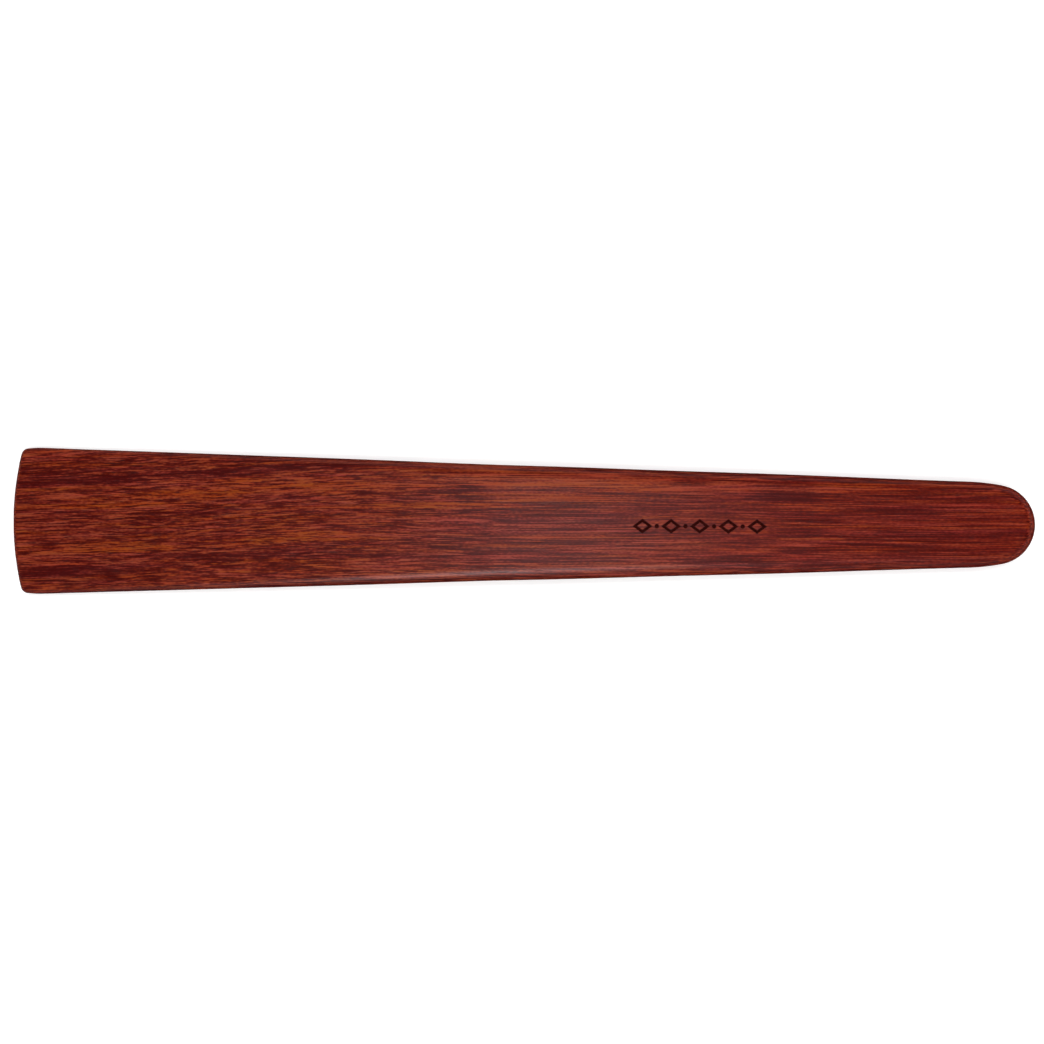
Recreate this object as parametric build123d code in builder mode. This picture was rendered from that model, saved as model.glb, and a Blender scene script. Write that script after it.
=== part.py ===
"""Long wooden shoehorn: one piece of hardwood, sawn to a long taper and rounded along every edge.

The wide end is the thin blade, with a shallow arc for its edge. The narrow end is the grip, with a
rounded tip. The shoehorn lies on its flat underside at Z = 0, with the blade towards -X, the grip
towards +X and the origin under the middle of its length. Every size is in millimetres.

The wood is made in three stretches that share their end faces: the blade's end, the long taper and
the grip's tip. They are joined into one solid, as the real board is.
"""

import math
import os

from build123d import *

# Outline, seen from above
LENGTH = 330.0
BLADE_WIDTH = 46.9  # where the blade's end meets the long taper
BLADE_CORNER_WIDTH = 46.3  # between the blade's corners, before they are rounded
GRIP_WIDTH = 28.0  # just before the grip's tip starts to round
BLADE_ARC_RADIUS = 92.0
CORNER_RADIUS = 2.4
TIP_RADIUS = 12.9
NECK_DEPTH = 0.35  # how much narrower the neck is than a straight taper
PALM_SWELL = 0.3  # how much wider the grip is than a straight taper

# Thickness, seen from the side
FULL_THICKNESS = 9.5
BLADE_THICKNESS = 3.2
TIP_THICKNESS = 8.2

# Rounding along the edges, the same above and below, as a share of the thickness
BLADE_ROUNDING = 0.35
GRIP_ROUNDING = 0.45

# Engraved band on the grip's upper face: open lozenges with a dot between each two
LOZENGE_COUNT = 5
LOZENGE_LENGTH = 6.2
LOZENGE_WIDTH = 4.6
STROKE = 0.8
DOT_RADIUS = 0.65
ENGRAVING_PITCH = 9.2
ENGRAVING_DEPTH = 0.3
ENGRAVING_CENTRE = (56.6, -0.9)

# Places along the length
BLADE_END = -LENGTH / 2
GRIP_END = LENGTH / 2
BLADE_JOIN = BLADE_END + 15  # where the blade's end meets the long taper
TURN_IN_X = BLADE_END + 10  # where the blade's sides start to curve in towards its corners
GRIP_JOIN = GRIP_END - 25  # where the long taper meets the grip's tip
SHOULDER_X = GRIP_END - 21  # where the tip's shoulders leave the straight sides
THICKEST_X = 10.0
THINNING_LEAD = 40.0  # how far past the blade's edge the thinning would run on
NECK_X, NECK_SPAN = -15.0, 32.0
PALM_X, PALM_SPAN = 85.0, 45.0
STATIONS = 11  # cross-sections along the taper, without the two at its ends

ABOVE = 2 * FULL_THICKNESS  # taller than the wood
PLANING = 0.02  # taken off the underside at the end, to leave one flat face


def smooth_step(x, start, end):
    """0 before start and 1 after end, level at both."""
    share = min(max((x - start) / (end - start), 0), 1)
    return share * share * (3 - 2 * share)


def bump(x, middle, span):
    """1 at middle, falling smoothly to 0 at span on each side."""
    return 1 - smooth_step(abs(x - middle), 0, span)


def width_at(x):
    """The straight taper, with its slight neck and palm swell."""
    share = (x - BLADE_JOIN) / (GRIP_JOIN - BLADE_JOIN)
    taper = BLADE_WIDTH + (GRIP_WIDTH - BLADE_WIDTH) * share
    return taper - NECK_DEPTH * bump(x, NECK_X, NECK_SPAN) + PALM_SWELL * bump(x, PALM_X, PALM_SPAN)


def thickness_at(x):
    """Thin at the blade, thickest just past the middle, and a little thinner at the grip's tip."""
    lead = BLADE_END - THINNING_LEAD
    gained = smooth_step(BLADE_END, lead, THICKEST_X)
    share = (smooth_step(x, lead, THICKEST_X) - gained) / (1 - gained)
    lost = (FULL_THICKNESS - TIP_THICKNESS) * smooth_step(x, THICKEST_X, GRIP_JOIN)
    return BLADE_THICKNESS + (FULL_THICKNESS - BLADE_THICKNESS) * share - lost


def rounding_at(x):
    """Radius of the edges: tight along the blade and full in the hand."""
    growth = smooth_step(x, BLADE_JOIN, THICKEST_X)
    return thickness_at(x) * (BLADE_ROUNDING + (GRIP_ROUNDING - BLADE_ROUNDING) * growth)


SIDE_SLOPE = (BLADE_WIDTH - GRIP_WIDTH) / 2 / (GRIP_JOIN - BLADE_JOIN)


def rim(part, join):
    """The edges that run round a stretch above and below, without those in its join plane."""
    level = part.faces().filter_by(lambda face: abs(face.normal_at().Z) > 0.9).edges()
    return level.filter_by(lambda edge: abs(edge.center().X - join) > 0.01)


def make_blade_end():
    """The last stretch of the blade: a thin wedge with an arc for its edge and rounded corners."""
    across = BLADE_CORNER_WIDTH / 2
    along = BLADE_END + BLADE_ARC_RADIUS - math.sqrt(BLADE_ARC_RADIUS**2 - across**2)
    rise = (thickness_at(BLADE_JOIN) - BLADE_THICKNESS) / (BLADE_JOIN - BLADE_END)
    beyond = BLADE_END - CORNER_RADIUS
    with BuildPart() as blade_end:
        with BuildSketch() as outline:
            with BuildLine():
                ThreePointArc((along, -across), (BLADE_END, 0), (along, across))
                for side in (-1, 1):
                    turn_in = (TURN_IN_X, side * (BLADE_WIDTH / 2 + SIDE_SLOPE * (BLADE_JOIN - TURN_IN_X)))
                    Line((BLADE_JOIN, side * BLADE_WIDTH / 2), turn_in)
                    TangentArc(turn_in, (along, side * across), tangent=(-1, side * SIDE_SLOPE))
                Line((BLADE_JOIN, -BLADE_WIDTH / 2), (BLADE_JOIN, BLADE_WIDTH / 2))
            make_face()
            fillet(outline.vertices().group_by(Axis.X)[0], CORNER_RADIUS)
        extrude(amount=ABOVE, both=True)
        with BuildSketch(Plane.XZ):
            with BuildLine():
                Polyline(
                    (BLADE_JOIN, -PLANING),
                    (BLADE_JOIN, thickness_at(BLADE_JOIN)),
                    (beyond, BLADE_THICKNESS - rise * CORNER_RADIUS),
                    (beyond, -PLANING),
                    close=True,
                )
            make_face()
        extrude(amount=BLADE_WIDTH, both=True, mode=Mode.INTERSECT)
        fillet(rim(blade_end, BLADE_JOIN), rounding_at(BLADE_JOIN))
    return blade_end.part


def make_grip_tip():
    """The last stretch of the grip: a round tip that two shoulder arcs join to the sides."""
    start = Vector(SHOULDER_X, GRIP_WIDTH / 2 - SIDE_SLOPE * (SHOULDER_X - GRIP_JOIN))
    tip_centre = Vector(GRIP_END - TIP_RADIUS, 0)
    outward = Vector(SIDE_SLOPE, 1).normalized()
    reach = start - tip_centre
    shoulder_radius = (reach.length**2 - TIP_RADIUS**2) / (2 * (outward.dot(reach) - TIP_RADIUS))
    shoulder_centre = start - outward * shoulder_radius
    contact = tip_centre + (tip_centre - shoulder_centre).normalized() * TIP_RADIUS
    middle = ((start + contact) * 0.5 - shoulder_centre).normalized() * shoulder_radius
    with BuildPart() as grip_tip:
        with BuildSketch():
            with BuildLine() as half:
                Polyline((GRIP_JOIN, 0), (GRIP_JOIN, GRIP_WIDTH / 2), start)
                ThreePointArc(start, shoulder_centre + middle, contact)
                RadiusArc(contact, (GRIP_END, 0), TIP_RADIUS)
                mirror(half.line, about=Plane.XZ)
            make_face()
        extrude(amount=ABOVE, both=True)
        with Locations((GRIP_END, 0, -PLANING)):
            Box(
                4 * TIP_RADIUS,
                2 * GRIP_WIDTH,
                thickness_at(GRIP_JOIN) + PLANING,
                align=(Align.CENTER, Align.CENTER, Align.MIN),
                mode=Mode.INTERSECT,
            )
        fillet(rim(grip_tip, GRIP_JOIN), rounding_at(GRIP_JOIN))
    return grip_tip.part


def make_taper(first_section, last_section):
    """The long stretch between: rounded cross-sections that change smoothly along the length."""
    step = (GRIP_JOIN - BLADE_JOIN) / (STATIONS + 1)
    sections = [first_section]
    for index in range(1, STATIONS + 1):
        x = BLADE_JOIN + step * index
        height = thickness_at(x) + PLANING
        with BuildSketch(Plane.YZ.offset(x)) as section:
            with Locations((0, height / 2 - PLANING)):
                RectangleRounded(width_at(x), height, rounding_at(x))
        sections.append(section.sketch.face())
    with BuildPart() as taper:
        loft([*sections, last_section])
    return taper.part


def make_wood():
    """The whole board, shaped and planed flat underneath."""
    blade_end = make_blade_end()
    grip_tip = make_grip_tip()
    with BuildPart() as wood:
        add(blade_end)
        add(grip_tip)
        add(make_taper(blade_end.faces().sort_by(Axis.X)[-1], grip_tip.faces().sort_by(Axis.X)[0]))
        split(bisect_by=Plane.XY)
    return wood.part


def make_engraving(wood):
    """The wood that the engraving takes away: its pattern, cut to one depth below the curved face."""
    with BuildPart() as engraving:
        with BuildSketch(Plane.XY.offset(TIP_THICKNESS / 2)):
            with Locations(ENGRAVING_CENTRE):
                with GridLocations(ENGRAVING_PITCH, 0, LOZENGE_COUNT, 1):
                    Polygon(
                        (LOZENGE_LENGTH / 2, 0),
                        (0, LOZENGE_WIDTH / 2),
                        (-LOZENGE_LENGTH / 2, 0),
                        (0, -LOZENGE_WIDTH / 2),
                        align=None,
                    )
            offset(amount=-STROKE, kind=Kind.INTERSECTION, mode=Mode.SUBTRACT)
            with Locations(ENGRAVING_CENTRE):
                with GridLocations(ENGRAVING_PITCH, 0, LOZENGE_COUNT - 1, 1):
                    Circle(DOT_RADIUS)
        extrude(amount=FULL_THICKNESS)
        add(wood.moved(Location((0, 0, -ENGRAVING_DEPTH))), mode=Mode.SUBTRACT)
    return engraving.part


wood = make_wood()
with BuildPart() as shoehorn:
    add(wood)
    add(make_engraving(wood), mode=Mode.SUBTRACT)

os.makedirs("parts", exist_ok=True)
shoehorn.part.label = "wooden_shoehorn"
export_step(shoehorn.part, "parts/wooden_shoehorn.step")
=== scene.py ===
"""The looks of the long wooden shoehorn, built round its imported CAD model.

The board is rebuilt as a fine mesh from the CAD model's own surface: its outline, its thickness and
its rounded edges are read from the CAD mesh, and the engraved band is cut into it. One procedural
wood gives it its figure, grain, pores and gloss, and another material chars the engraved grooves.
Lengths named here are in millimetres, in the CAD model's frame, and Blender's own are in metres.
"""

import math

import bpy
import numpy as np
from mathutils.geometry import delaunay_2d_cdt
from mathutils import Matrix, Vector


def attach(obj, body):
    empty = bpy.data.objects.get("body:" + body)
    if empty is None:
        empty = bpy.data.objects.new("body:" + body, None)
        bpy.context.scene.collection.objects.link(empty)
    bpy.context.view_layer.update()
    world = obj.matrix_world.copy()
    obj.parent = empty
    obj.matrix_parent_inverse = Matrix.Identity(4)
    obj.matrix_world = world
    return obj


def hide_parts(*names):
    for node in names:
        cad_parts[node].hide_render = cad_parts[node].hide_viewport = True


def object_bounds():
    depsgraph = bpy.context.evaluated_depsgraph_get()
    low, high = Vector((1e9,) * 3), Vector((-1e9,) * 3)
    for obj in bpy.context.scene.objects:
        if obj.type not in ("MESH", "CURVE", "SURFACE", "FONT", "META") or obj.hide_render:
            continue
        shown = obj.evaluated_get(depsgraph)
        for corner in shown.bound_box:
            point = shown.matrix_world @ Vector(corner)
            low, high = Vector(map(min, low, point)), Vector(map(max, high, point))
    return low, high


MM = 0.001
NODE = "wooden_shoehorn"

# Mesh
LONGEST_STEP = 0.9  # between two points of the outline
SHARPEST_TURN = math.radians(4)  # between two points of the outline
ROUNDING_STEPS = 12  # from the side to the flat, above and below
TOP_SPACING = 1.3
UNDERSIDE_SPACING = 2.5
SANDING = 0.03  # how far hand sanding dips below the true surface
OUTLINE_SAMPLES = 20001  # along half the outline, to choose its points from
EDGE_GAP = 0.6  # least distance from the edge to the flats' own points, in their spacings
BAND_GAP = 0.35  # least distance from the engraving to them
CREASE = math.radians(35)  # edges that turn more than this are shaded sharp

# Engraved band
LOZENGES = 5
LOZENGE_SHAPE = 6.2 / 4.6  # length over width
STROKE = 0.8
DOT_RADIUS = 0.65
DEPTH = 0.3
WALL = 0.15  # how far a groove's sloping wall reaches in
SCORCH = 0.3  # how far the wood beside a groove is scorched
UPPER_SIDE = 5.0  # a height between the underside and the engraved face

# The grain climbs across the blade and runs level from there on
GRAIN_START = -260
GRAIN_END = -30
GRAIN_RISE = 5.5  # half way across the board
GRAIN_FAN = 60.0  # how far up the board that grows by as much again

# Where along X the wood turns calmer and redder towards the grip
GRIP_START = -30
GRIP_END = 110

# The wood's main streaks: middle in x and y, half the length, half the width, how much brighter
# than the wood round it, and how much more purple (below 0: more orange). A script first wrote this
# table out from notes, and it was then cut down and rounded.
STREAKS = (
    (-143, 12.5, 27, 1.7, -0.60, 1.2),
    (-99, 15.5, 22, 1.5, -0.50, 1.2),
    (-137, 5.0, 30, 1.0, 0.35, -0.8),
    (-108, 9.0, 21, 1.3, 0.20, -1.2),
    (-104, 3.5, 20, 0.7, -0.30, 0.3),
    (-128, -8.0, 16, 1.5, 0.30, -1.2),
    (-91, -6.5, 16, 1.5, 0.25, -1.0),
    (-145, -16.0, 23, 1.8, -0.50, 1.0),
    (-98, -11.0, 21, 1.0, -0.30, 0.5),
    (-67, 18.0, 16, 1.3, -0.35, 1.0),
    (-58, 10.5, 30, 1.5, 0.30, -1.2),
    (-56, 4.5, 26, 0.7, 0.40, -0.8),
    (-28, 5.5, 22, 0.9, 0.45, -1.4),
    (-62, -5.0, 26, 1.6, 0.30, -1.0),
    (-14, 1.0, 21, 2.5, -0.10, 1.0),
    (20, 7.0, 27, 1.1, 0.35, -1.4),
    (51, 11.0, 32, 1.0, 0.30, -0.8),
    (5, 13.5, 42, 2.5, 0.30, -0.8),
    (83, 8.5, 13, 1.6, -0.50, 0.4),
    (17, 0.5, 23, 2.3, -0.10, 1.0),
    (-8, -11.5, 39, 1.5, -0.10, 1.2),
    (67, -12.5, 15, 1.0, -0.40, 0.4),
    (109, 11.5, 17, 1.5, 0.35, -0.6),
    (125, 4.0, 11, 1.1, -0.40, 0.2),
    (139, -3.0, 26, 1.0, -0.25, 0.4),
)
STREAK_REACH = 1.7  # where a streak has faded out: its squared distance, in half lengths and widths

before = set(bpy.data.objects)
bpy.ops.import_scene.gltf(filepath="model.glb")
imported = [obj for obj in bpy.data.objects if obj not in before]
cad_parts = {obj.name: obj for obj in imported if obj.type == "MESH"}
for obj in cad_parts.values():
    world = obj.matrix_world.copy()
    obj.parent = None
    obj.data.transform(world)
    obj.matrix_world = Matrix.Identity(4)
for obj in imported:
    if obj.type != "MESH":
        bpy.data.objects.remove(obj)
cad_low, cad_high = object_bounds()


# ---------------------------------------------------------------- reading the CAD board


def spline(knots, values):
    """The natural cubic curve through the rows of values at the knots, as a function."""
    gap = np.diff(knots)
    slope = np.diff(values, axis=0) / gap[:, None]
    system = np.diag(np.r_[1.0, 2 * (gap[:-1] + gap[1:]), 1.0])
    system += np.diag(np.r_[gap[:-1], 0.0], -1) + np.diag(np.r_[0.0, gap[1:]], 1)
    level = np.zeros((1, values.shape[1]))
    bend = np.linalg.solve(system, np.vstack([level, 6 * np.diff(slope, axis=0), level]))

    def at(place):
        span = np.clip(np.searchsorted(knots, place) - 1, 0, len(gap) - 1)
        width = gap[span][:, None]
        left = (knots[span + 1] - place)[:, None]
        right = (place - knots[span])[:, None]
        curved = (bend[span] * left**3 + bend[span + 1] * right**3) / (6 * width)
        start = (values[span] / width - bend[span] * width / 6) * left
        end = (values[span + 1] / width - bend[span + 1] * width / 6) * right
        return curved + start + end

    return at


def even_knots(rows):
    """The rows in order of X, without those that all but repeat the one before."""
    rows = rows[np.argsort(rows[:, 0])]
    rows = rows[np.r_[True, np.linalg.norm(np.diff(rows, axis=0), axis=1) > 0.02]]
    gaps = np.linalg.norm(np.diff(rows, axis=0), axis=1)
    return rows[np.r_[True, gaps[:-1] > 0.12 * gaps[1:], True]]


class CadBoard:
    """What the CAD mesh says about the board: its vertices lie exactly on its true surface.

    They are told apart by their normals and by their share of the thickness: the sides lie round
    the middle of it and the engraving's walls near the top.
    """

    def __init__(self):
        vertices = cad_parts[NODE].data.vertices
        places = np.array([vertex.co for vertex in vertices]) / MM
        normals = np.array([vertex.normal for vertex in vertices])
        height = places[:, 2].max()
        upright = np.abs(normals[:, 2]) < 0.05
        self.read_thickness(places[(normals[:, 2] > 0.999) & (places[:, 2] > 0.3 * height)])
        share = places[:, 2] / self.thickness(places[:, 0])
        self.read_rounding(places[upright & (share < 0.47)])
        self.read_outline(places[upright & (share < 0.7) & (places[:, 1] > 0.5)])
        self.read_band(places[upright & (share > 0.8)])

    def read_thickness(self, tops):
        """The flat's height along X. The engraving's floors lie lower than their neighbours."""
        stretch = 4
        bins = np.round(tops[:, 0] / stretch)
        highest = [tops[bins == one][np.argmax(tops[bins == one][:, 2])] for one in np.unique(bins)]
        rows = even_knots(np.array(highest)[:, [0, 2]])
        curve = spline(rows[:, 0], rows[:, 1:])
        self.thickness = lambda x: curve(np.asarray(x, float))[:, 0]

    def read_rounding(self, low_edge):
        """The radius of the rounded edges along X: the height at which the side starts."""
        fit = np.polyfit(low_edge[:, 0], low_edge[:, 2], deg=5)
        self.rounding = lambda x: np.polyval(fit, x)

    def read_outline(self, side):
        """Half the outline seen from above, from the blade's edge to the grip's tip."""
        half = even_knots(side[:, :2])
        mirror = half * (1, -1)
        lead = 4
        points = np.vstack([mirror[lead - 1 :: -1], half, mirror[: -lead - 1 : -1]])
        along = np.r_[0.0, np.cumsum(np.linalg.norm(np.diff(points, axis=0), axis=1))]
        self.outline = spline(along, points)
        self.blade_middle = (along[lead - 1] + along[lead]) / 2
        self.tip_middle = (along[-lead - 1] + along[-lead]) / 2

    def read_band(self, pockets):
        """The box that the engraved band fills, seen from above, and its lozenges' size and pitch."""
        low = pockets[:, :2].min(axis=0)
        high = pockets[:, :2].max(axis=0)
        self.band_middle = (high + low) / 2
        self.band_length, band_width = high - low
        self.half_width = band_width / 2
        self.half_length = self.half_width * LOZENGE_SHAPE
        self.pitch = (self.band_length - 2 * self.half_length) / (LOZENGES - 1)


# ---------------------------------------------------------------- the board's mesh


def sanded(x, y):
    """How far the hand-sanded surface dips below the true one: long, faint waves."""
    waves = np.sin(x / 11.0 + 1.3 * np.sin(y / 9.0)) + np.sin(x / 29.0 - y / 6.5 + 2.0)
    waves = waves + 0.7 * np.sin(x / 5.3 + y / 4.1 + 0.8 * np.sin(x / 17.0))
    return SANDING * (0.5 + waves / 5.4)


def outline_points(board):
    """Points round the outline, close together where it turns, and their outward normals."""
    fine = np.linspace(board.blade_middle, board.tip_middle, OUTLINE_SAMPLES)
    trace = board.outline(fine)
    step = np.diff(trace, axis=0)
    heading = np.unwrap(np.arctan2(step[:, 1], step[:, 0]))
    turned = np.r_[0.0, np.cumsum(np.abs(np.diff(heading, prepend=heading[0])))]
    walked = np.r_[0.0, np.cumsum(np.linalg.norm(step, axis=1))]
    effort = walked / LONGEST_STEP + turned / SHARPEST_TURN
    count = math.ceil(effort[-1])
    chosen = np.interp(np.linspace(0, effort[-1], count + 1), effort, fine)
    half = board.outline(chosen)
    half[[0, -1], 1] = 0.0
    half[:, 0] = np.maximum(half[:, 0], cad_low.x / MM)
    half[:, 1] = np.minimum(half[:, 1], min(-cad_low.y, cad_high.y) / MM)
    ahead = board.outline(chosen + 0.01) - board.outline(chosen - 0.01)
    ahead /= np.linalg.norm(ahead, axis=1)[:, None]
    outward = np.column_stack([-ahead[:, 1], ahead[:, 0]])
    outward[0] = (-1, 0)
    outward[-1] = (1, 0)
    points = np.vstack([half, half[-2:0:-1] * (1, -1)])
    return points, np.vstack([outward, outward[-2:0:-1] * (1, -1)])


def rings(board):
    """Closed loops round the edge, from the underside's flat up to the upper face's flat."""
    points, outward = outline_points(board)
    radius = board.rounding(points[:, 0])
    quarter = np.linspace(0, math.pi / 2, ROUNDING_STEPS + 1)
    loops = []
    for angle in quarter[::-1]:
        plan = points - outward * (radius * (1 - math.cos(angle)))[:, None]
        loops.append(np.column_stack([plan, radius * (1 - math.sin(angle))]))
    for angle in quarter:
        plan = points - outward * (radius * (1 - math.cos(angle)))[:, None]
        top = board.thickness(plan[:, 0])
        dip = sanded(plan[:, 0], plan[:, 1])
        height = top - radius * (1 - math.sin(angle)) - dip * math.sin(angle)
        loops.append(np.column_stack([plan, height]))
    return loops


def lozenge(centre, half_length, half_width, inset):
    """Corners of a lozenge whose sides lie inset inside those of the given one."""
    share = 1 - inset * math.hypot(half_length, half_width) / (half_length * half_width)
    corners = np.array([(1, 0), (0, 1), (-1, 0), (0, -1)]) * (half_length, half_width) * share
    return corners + centre


def circle(centre, radius, count=20):
    """Points round a circle."""
    angles = np.linspace(0, 2 * math.pi, count, endpoint=False)
    return np.column_stack([np.cos(angles), np.sin(angles)]) * radius + centre


def engraving(board):
    """Closed contours of the engraved band, each with its depth below the surface."""
    contours = []
    for place in range(LOZENGES):
        centre = board.band_middle + ((place - (LOZENGES - 1) / 2) * board.pitch, 0)
        for inset, depth in ((0, 0), (WALL, DEPTH), (STROKE - WALL, DEPTH), (STROKE, 0)):
            corners = lozenge(centre, board.half_length, board.half_width, inset)
            contours.append((corners, depth))
    for place in range(LOZENGES - 1):
        centre = board.band_middle + ((place - (LOZENGES - 2) / 2) * board.pitch, 0)
        for inset, depth in ((0, 0), (WALL, DEPTH)):
            contours.append((circle(centre, DOT_RADIUS - inset), depth))
    return contours


def away(field, line, gap):
    """The points of a field that lie farther than a gap from the points of a line."""
    near = np.array([np.linalg.norm(line - place, axis=1).min() for place in field])
    return field[near > gap]


def filled(loop, spacing, contours=()):
    """Triangles that fill a loop, with a field of points inside it and the given contours."""
    points = [loop]
    edges = [[(i, (i + 1) % len(loop)) for i in range(len(loop))]]
    first = len(loop)
    for contour in contours:
        points.append(contour)
        edges.append([(first + i, first + (i + 1) % len(contour)) for i in range(len(contour))])
        first += len(contour)
    low = loop.min(axis=0)
    high = loop.max(axis=0)
    x, y = np.meshgrid(np.arange(low[0], high[0], spacing), np.arange(low[1], high[1], spacing))
    x[1::2] += spacing / 2
    field = np.column_stack([x.ravel(), y.ravel()])
    upper = loop[: len(loop) // 2 + 1]
    field = field[np.abs(field[:, 1]) < np.interp(field[:, 0], upper[:, 0], upper[:, 1])]
    field = away(field, loop, EDGE_GAP * spacing)
    for contour in contours:
        closed = np.vstack([contour, contour[:1]])
        steps = np.linspace(0, len(contour), 8 * len(contour) + 1)
        dense = np.column_stack([np.interp(steps, range(len(closed)), closed[:, k]) for k in (0, 1)])
        field = away(field, dense, BAND_GAP)
    points = np.vstack([*points, field])
    made = delaunay_2d_cdt([tuple(p) for p in points], sum(edges, []), [], 1, 1e-6)
    origin = [rows[0] for rows in made[3]]
    return points, [[origin[corner] for corner in face] for face in made[2]]


def make_board(board):
    """The whole board as one closed mesh. The engraved grooves take its second material."""
    loops = rings(board)
    count = len(loops[0])
    vertices = [np.vstack(loops)]
    faces = []
    for level in range(len(loops) - 1):
        for i in range(count):
            j = (i + 1) % count
            below = level * count
            above = below + count
            faces.append((below + i, above + i, above + j, below + j))
    contours = engraving(board)
    points, triangles = filled(loops[-1][:, :2], TOP_SPACING, [line for line, _ in contours])
    inner = points[count:]
    depth = np.zeros(len(inner))
    depth[: sum(len(line) for line, _ in contours)] = np.concatenate(
        [np.full(len(line), deep) for line, deep in contours]
    )
    height = board.thickness(inner[:, 0]) - sanded(inner[:, 0], inner[:, 1]) - depth
    last_loop = (len(loops) - 1) * count
    vertices.append(np.column_stack([inner, height]))
    groove_start = len(faces)
    grooves = [any(c >= count and depth[c - count] > 0 for c in face) for face in triangles]
    faces += [[last_loop + c for c in face] for face in triangles]
    start = len(loops) * count + len(inner)
    points, triangles = filled(loops[0][:, :2], UNDERSIDE_SPACING)
    inner = points[count:]
    vertices.append(np.column_stack([inner, np.zeros(len(inner))]))
    faces += [[c if c < count else start - count + c for c in face[::-1]] for face in triangles]
    mesh = bpy.data.meshes.new("shoehorn_board")
    mesh.from_pydata((np.vstack(vertices) * MM).tolist(), [], faces)
    for face, groove in enumerate(grooves, groove_start):
        mesh.polygons[face].material_index = int(groove)
    mesh.validate()
    mesh.shade_smooth()
    mesh.set_sharp_from_angle(angle=CREASE)
    shoehorn = bpy.data.objects.new("shoehorn_board", mesh)
    bpy.context.scene.collection.objects.link(shoehorn)
    return shoehorn


# ---------------------------------------------------------------- the wood


class Shader:
    """Short calls that add shader nodes to a material or a world and join them."""

    def __init__(self, owner):
        owner.use_nodes = True
        self.tree = owner.node_tree
        self.surface = self.tree.nodes.get("Principled BSDF")

    def feed(self, socket, value):
        if isinstance(value, bpy.types.NodeSocket):
            self.tree.links.new(value, socket)
        else:
            socket.default_value = value

    def node(self, kind, inputs, **settings):
        made = self.tree.nodes.new(kind)
        for name, value in settings.items():
            setattr(made, name, value)
        for name, value in inputs.items():
            self.feed(made.inputs[name], value)
        return made

    def math(self, operation, *values):
        made = self.node("ShaderNodeMath", dict(enumerate(values)), operation=operation)
        return made.outputs[0]

    def add(self, first, *others):
        for other in others:
            first = self.math("ADD", first, other)
        return first

    def times(self, value, factor):
        return self.math("MULTIPLY", value, factor)

    def step(self, value, start, end, low=0.0, high=1.0):
        """Smoothly from low at start to high at end."""
        inputs = {"Value": value, "From Min": start, "From Max": end, "To Min": low, "To Max": high}
        made = self.node("ShaderNodeMapRange", inputs, interpolation_type="SMOOTHSTEP")
        return made.outputs[0]

    def noise(self, place, length, thickness, seed, detail=2.0, roughness=0.5):
        """Noise drawn out along the grain: length along X, thickness across it, 0 on average."""
        x, y, z = place
        stretched = self.node(
            "ShaderNodeCombineXYZ",
            {
                0: self.math("MULTIPLY_ADD", x, 1 / length, seed),
                1: self.math("MULTIPLY_ADD", y, 1 / thickness, 1.7 * seed),
                2: self.math("MULTIPLY_ADD", z, 1 / thickness, 0.6 * seed),
            },
        ).outputs[0]
        inputs = {"Vector": stretched, "Scale": 1.0, "Detail": detail, "Roughness": roughness}
        made = self.node("ShaderNodeTexNoise", inputs, noise_dimensions="3D")
        return self.math("SUBTRACT", made.outputs[0], 0.5)

    def ramp(self, value, stops):
        """Colours, as sRGB levels from 0 to 255, at places from 0 to 1."""
        made = self.node("ShaderNodeValToRGB", {"Fac": value})
        points = made.color_ramp.elements
        while len(points) < len(stops):
            points.new(0.5)
        for point, (place, levels) in zip(points, stops):
            point.position = place
            point.color = (*(linear(level) for level in levels), 1.0)
        return made.outputs[0]

    def mix(self, share, first, second, blend="MIX"):
        made = self.node("ShaderNodeMix", {}, data_type="RGBA", blend_type=blend)
        for socket, value in zip((made.inputs[0], made.inputs[6], made.inputs[7]), (share, first, second)):
            self.feed(socket, value)
        return made.outputs[2]


def linear(level):
    """The linear value of an sRGB level from 0 to 255."""
    level = level / 255
    return level / 12.92 if level <= 0.04045 else ((level + 0.055) / 1.055) ** 2.4


def grain_place(shader):
    """Object coordinates in millimetres, bent so that straight grain follows the board's own."""
    coordinates = shader.node("ShaderNodeTexCoord", {}).outputs["Object"]
    split = shader.node("ShaderNodeSeparateXYZ", {0: coordinates})
    x, y, z = (shader.times(split.outputs[k], 1 / MM) for k in range(3))
    straight = (x, y, z)
    rise = shader.step(x, GRAIN_START, GRAIN_END, 0.0, GRAIN_RISE)
    rise = shader.times(rise, shader.math("MULTIPLY_ADD", y, 1 / GRAIN_FAN, 1.0))
    sway = shader.times(shader.noise(straight, 90, 26, 3.1, 1.0), 2.0)
    ripple = shader.times(shader.noise(straight, 20, 5, 8.4, 1.0), 0.35)
    bent = shader.add(shader.math("SUBTRACT", y, rise), sway, ripple)
    return straight, (x, bent, z)


def main_streaks(shader, place):
    """How much the main streaks lighten the wood, and how far they turn it to purple."""
    tone = 0.0
    hue = 0.0
    for x, y, half_length, half_width, brighter, purple in STREAKS:
        way = min((x - GRAIN_START) / (GRAIN_END - GRAIN_START), 1.0)
        level = y - GRAIN_RISE * way * way * (3 - 2 * way) * (1 + y / GRAIN_FAN)
        along = shader.math("MULTIPLY_ADD", place[0], 1 / half_length, -x / half_length)
        across = shader.math("MULTIPLY_ADD", place[1], 1 / half_width, -level / half_width)
        reach = shader.math("MULTIPLY_ADD", across, across, shader.times(along, along))
        streak = shader.step(reach, STREAK_REACH, 0.0)
        tone = shader.math("MULTIPLY_ADD", streak, brighter, tone)
        hue = shader.math("MULTIPLY_ADD", streak, purple, hue)
    return tone, hue


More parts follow.
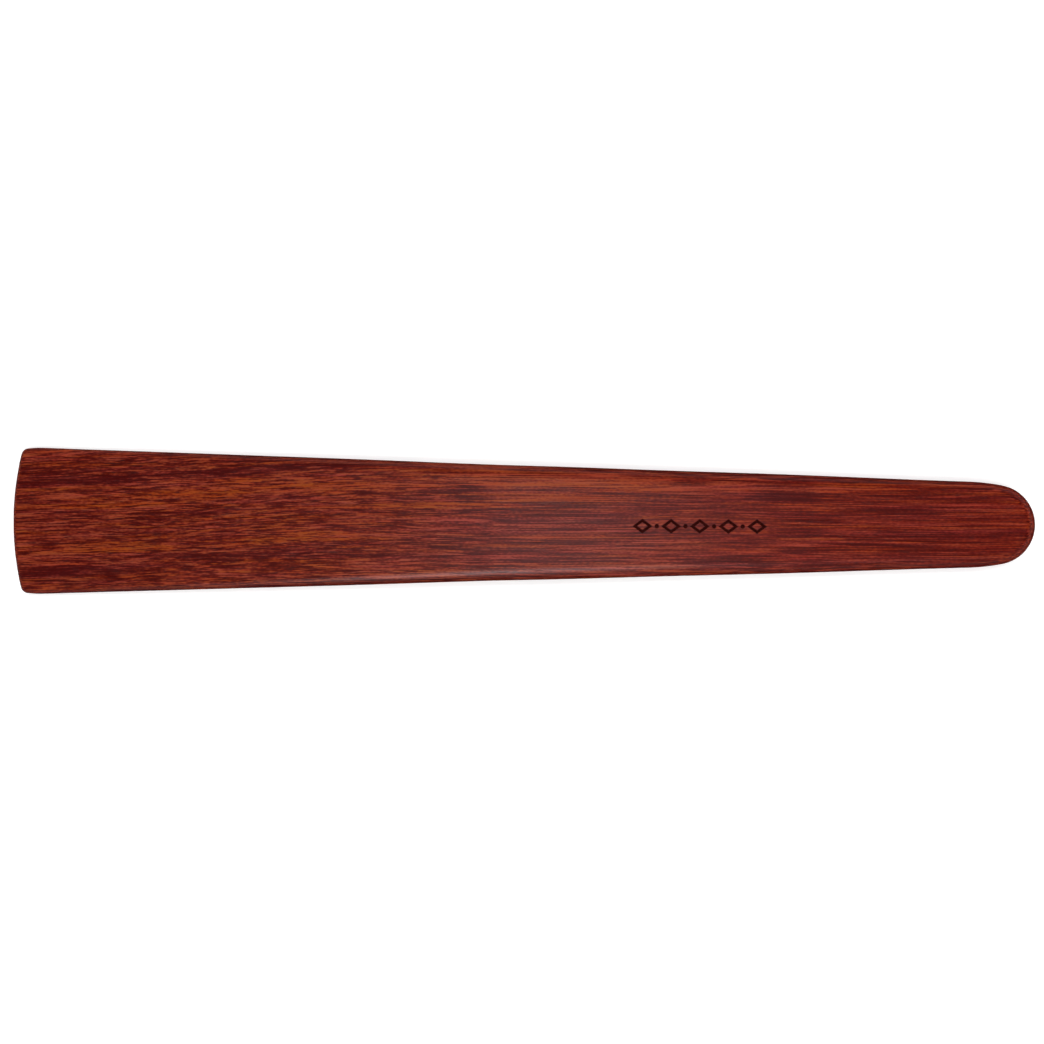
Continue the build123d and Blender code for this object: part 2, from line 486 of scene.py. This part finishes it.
def scorched_share(shader, straight, board):
    """1 in the engraved band's strokes and dots, fading to 0 a little way outside them."""
    half_length = board.half_length
    half_width = board.half_width
    pitch = board.pitch
    half_band = board.band_length / 2
    x = shader.math("SUBTRACT", straight[0], board.band_middle[0])
    y = shader.math("SUBTRACT", straight[1], board.band_middle[1])
    nearest = shader.math("ABSOLUTE", shader.math("WRAP", x, pitch / 2, -pitch / 2))
    slant = math.hypot(half_length, half_width) / (half_length * half_width)
    reach = shader.add(
        shader.times(nearest, 1 / half_length), shader.times(shader.math("ABSOLUTE", y), 1 / half_width)
    )
    inset = shader.times(shader.math("SUBTRACT", 1.0, reach), 1 / slant)
    stroke = shader.math("ABSOLUTE", shader.math("SUBTRACT", inset, STROKE / 2))
    stroke = shader.step(stroke, STROKE / 2 + SCORCH, STROKE / 2)
    far = shader.math("SUBTRACT", pitch / 2, nearest)
    apart = shader.math("SQRT", shader.add(shader.math("POWER", far, 2.0), shader.math("POWER", y, 2.0)))
    dot = shader.step(apart, DOT_RADIUS + SCORCH, DOT_RADIUS)
    off_centre = shader.math("ABSOLUTE", x)
    stroke = shader.times(stroke, shader.math("LESS_THAN", off_centre, half_band + SCORCH))
    dot = shader.times(dot, shader.math("LESS_THAN", off_centre, half_band - half_length))
    above = shader.math("GREATER_THAN", straight[2], UPPER_SIDE)
    return shader.times(shader.math("MAXIMUM", stroke, dot), above)


def make_wood(board):
    """Red tropical hardwood, sanded and oiled: dark and orange streaks, short dark pores, satin gloss.

    Towards the grip its figure is calmer and its colour redder.
    """
    wood = bpy.data.materials.new("oiled_hardwood")
    shader = Shader(wood)
    straight, place = grain_place(shader)

    figure = shader.noise(place, 130, 6.0, 1.9, 2.0)
    streaks = shader.noise(place, 70, 1.6, 5.2, 2.0, 0.6)
    threads = shader.noise(place, 50, 0.5, 7.7, 1.0, 0.6)
    fibres = shader.noise(place, 24, 0.28, 4.6, 1.0, 0.6)
    specks = shader.noise(place, 1.2, 0.4, 2.3, 0.0)
    hues = shader.noise(place, 50, 1.2, 9.1, 2.0)
    golds = shader.noise(place, 25, 0.6, 3.7, 1.0)
    pore_field = shader.noise(place, 4.2, 0.3, 6.3, 0.0)
    pores = shader.step(pore_field, 0.17, 0.3)
    streak_tone, streak_hue = main_streaks(shader, place)

    lines = shader.add(
        shader.times(figure, 1.1),
        shader.times(streaks, 0.5),
        shader.times(threads, 1.75),
        shader.times(fibres, 3.65),
        shader.times(specks, 1.0),
    )
    to_grip = shader.step(straight[0], GRIP_START, GRIP_END)
    lines = shader.times(lines, shader.math("MULTIPLY_ADD", to_grip, -0.28, 1.0))
    tone = shader.add(0.48, lines, streak_tone)
    colour = shader.ramp(
        tone,
        (
            (0.0, (56, 4, 2)),
            (0.25, (71, 12, 5)),
            (0.5, (87, 21, 9)),
            (0.75, (102, 33, 15)),
            (1.0, (126, 51, 26)),
        ),
    )
    purple = shader.add(0.5, shader.times(hues, 2.5), shader.times(streak_hue, 0.35))
    tint = shader.mix(purple, (1.03, 0.98, 0.3, 1), (1.02, 0.94, 1.7, 1))
    colour = shader.mix(1.0, colour, tint, "MULTIPLY")
    gold = shader.add(0.5, shader.times(golds, 2.5))
    gilding = shader.mix(gold, (1.05, 0.86, 0.95, 1), (0.97, 1.12, 1.0, 1))
    colour = shader.mix(1.0, colour, gilding, "MULTIPLY")
    colour = shader.mix(to_grip, colour, (1.05, 0.84, 0.92, 1), "MULTIPLY")
    colour = shader.mix(shader.times(pores, 0.6), colour, (0.42, 0.4, 0.4, 1), "MULTIPLY")
    scorched = scorched_share(shader, straight, board)
    colour = shader.mix(shader.times(scorched, 0.7), colour, (0.2, 0.12, 0.12, 1), "MULTIPLY")
    shader.feed(shader.surface.inputs["Base Color"], colour)

    roughness = shader.add(
        0.32, shader.times(threads, 0.18), shader.times(pores, 0.2), shader.times(scorched, 0.3)
    )
    shader.feed(shader.surface.inputs["Roughness"], roughness)
    relief = shader.add(
        shader.times(streaks, 0.2),
        shader.times(threads, 0.3),
        shader.times(fibres, 0.8),
        shader.times(specks, 0.2),
        shader.times(pores, -0.35),
    )
    bump = shader.node("ShaderNodeBump", {"Height": relief, "Strength": 0.5, "Distance": 0.08 * MM})
    shader.feed(shader.surface.inputs["Normal"], bump.outputs[0])
    shader.surface.inputs["Specular IOR Level"].default_value = 0.25
    return wood


def make_char():
    """The engraved grooves' burnt wood: dull and nearly black, with its grain still in it."""
    char = bpy.data.materials.new("burnt_groove")
    shader = Shader(char)
    _, place = grain_place(shader)
    grain = shader.noise(place, 3.0, 0.25, 5.9, 1.0)
    soot = shader.noise(place, 0.5, 0.5, 1.4, 1.0)
    tone = shader.add(0.5, shader.times(grain, 1.2), shader.times(soot, 0.8))
    colour = shader.ramp(tone, ((0.0, (24, 1, 0)), (0.5, (38, 5, 3)), (1.0, (62, 16, 11))))
    shader.feed(shader.surface.inputs["Base Color"], colour)
    shader.feed(shader.surface.inputs["Roughness"], shader.add(0.8, shader.times(soot, 0.3)))
    relief = shader.add(shader.times(grain, 0.6), shader.times(soot, 0.6))
    bump = shader.node("ShaderNodeBump", {"Height": relief, "Strength": 0.5, "Distance": 0.1 * MM})
    shader.feed(shader.surface.inputs["Normal"], bump.outputs[0])
    shader.surface.inputs["Specular IOR Level"].default_value = 0.05
    return char


# ---------------------------------------------------------------- the studio


def make_floor():
    """A plain pale floor, large enough to fill every view.

    It glows a little, so shadows stay faint, and more far out, where the panels' light fades.
    """
    half = 60.0
    mesh = bpy.data.meshes.new("floor")
    corners = [(-half, -half, 0), (half, -half, 0), (half, half, 0), (-half, half, 0)]
    mesh.from_pydata(corners, [], [(0, 1, 2, 3)])
    floor = bpy.data.objects.new("floor", mesh)
    bpy.context.scene.collection.objects.link(floor)
    pale = bpy.data.materials.new("pale_floor")
    shader = Shader(pale)
    shader.surface.inputs["Base Color"].default_value = (0.95, 0.95, 0.95, 1)
    shader.surface.inputs["Emission Color"].default_value = (1, 1, 1, 1)
    place = shader.node("ShaderNodeTexCoord", {}).outputs["Object"]
    far = shader.node("ShaderNodeVectorMath", {0: place}, operation="LENGTH").outputs["Value"]
    shader.feed(shader.surface.inputs["Emission Strength"], shader.step(far, 0.8, 4.0, 0.25, 0.75))
    shader.surface.inputs["Roughness"].default_value = 0.9
    shader.surface.inputs["Specular IOR Level"].default_value = 0.1
    pale.cycles.emission_sampling = "NONE"
    mesh.materials.append(pale)
    floor.visible_glossy = False


def softbox(name, place, size, power, glossy):
    """A soft rectangular light at a place in metres, facing the middle of the shoehorn.

    It is seen either in glossy reflections alone or in everything but them.
    """
    light = bpy.data.lights.new(name, "AREA")
    light.shape = "RECTANGLE"
    light.size, light.size_y = size
    light.energy = power
    lamp = bpy.data.objects.new(name, light)
    lamp.location = place
    lamp.rotation_mode = "QUATERNION"
    lamp.rotation_quaternion = lamp.location.to_track_quat("Z", "Y")
    lamp.visible_glossy = glossy
    lamp.visible_diffuse = not glossy
    bpy.context.scene.collection.objects.link(lamp)


def light_studio():
    """Even light from two wide panels, two small strips over one side and a lamp below the camera.

    The world is a pale wall round the horizon. It is dark below it, where the edges' reflections look.
    """
    softbox("front_panel", (0, -0.95, 2.1), (3.0, 1.0), 43, glossy=False)
    softbox("back_panel", (0, 0.95, 2.1), (3.0, 1.0), 43, glossy=False)
    softbox("left_strip", (-0.04, -0.29, 0.28), (0.09, 0.2), 0.6, glossy=True)
    softbox("right_strip", (0.02, -0.19, 0.35), (0.07, 0.2), 0.36, glossy=True)
    softbox("camera_lamp", (0.024, 0.0, 0.6), (0.05, 0.15), 0.22, glossy=True)
    world = bpy.data.worlds.new("studio")
    shader = Shader(world)
    direction = shader.node("ShaderNodeTexCoord", {}).outputs["Generated"]
    height = shader.node("ShaderNodeSeparateXYZ", {0: direction}).outputs[2]
    walls = shader.step(height, 0.75, 0.1, 0.02, 0.8)
    below = shader.step(height, -0.02, 0.0)
    background = world.node_tree.nodes["Background"]
    background.inputs["Color"].default_value = (1, 1, 1, 1)
    shader.feed(background.inputs["Strength"], shader.times(walls, below))
    bpy.context.scene.world = world


def make_camera():
    """Straight above the shoehorn, with its length along the picture."""
    across = 336.7 * MM  # width of the view
    aside = -0.45 * MM
    upwards = 0.25 * MM
    tilt = math.radians(0.24)
    lens = 85.0
    sensor = 36.0
    camera = bpy.data.objects.new("camera", bpy.data.cameras.new("camera"))
    camera.data.lens = lens
    camera.data.sensor_width = sensor
    middle = (cad_low + cad_high) / 2
    distance = across * lens / sensor
    camera.location = (middle.x + aside, middle.y + upwards, middle.z + distance)
    camera.rotation_euler = (0, 0, tilt)
    bpy.context.scene.collection.objects.link(camera)
    bpy.context.scene.camera = camera


board = CadBoard()
shoehorn = make_board(board)
shoehorn.data.materials.append(make_wood(board))
shoehorn.data.materials.append(make_char())
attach(shoehorn, "root")
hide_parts(NODE)
make_floor()
light_studio()
make_camera()
bpy.context.scene.view_settings.view_transform = "Standard"
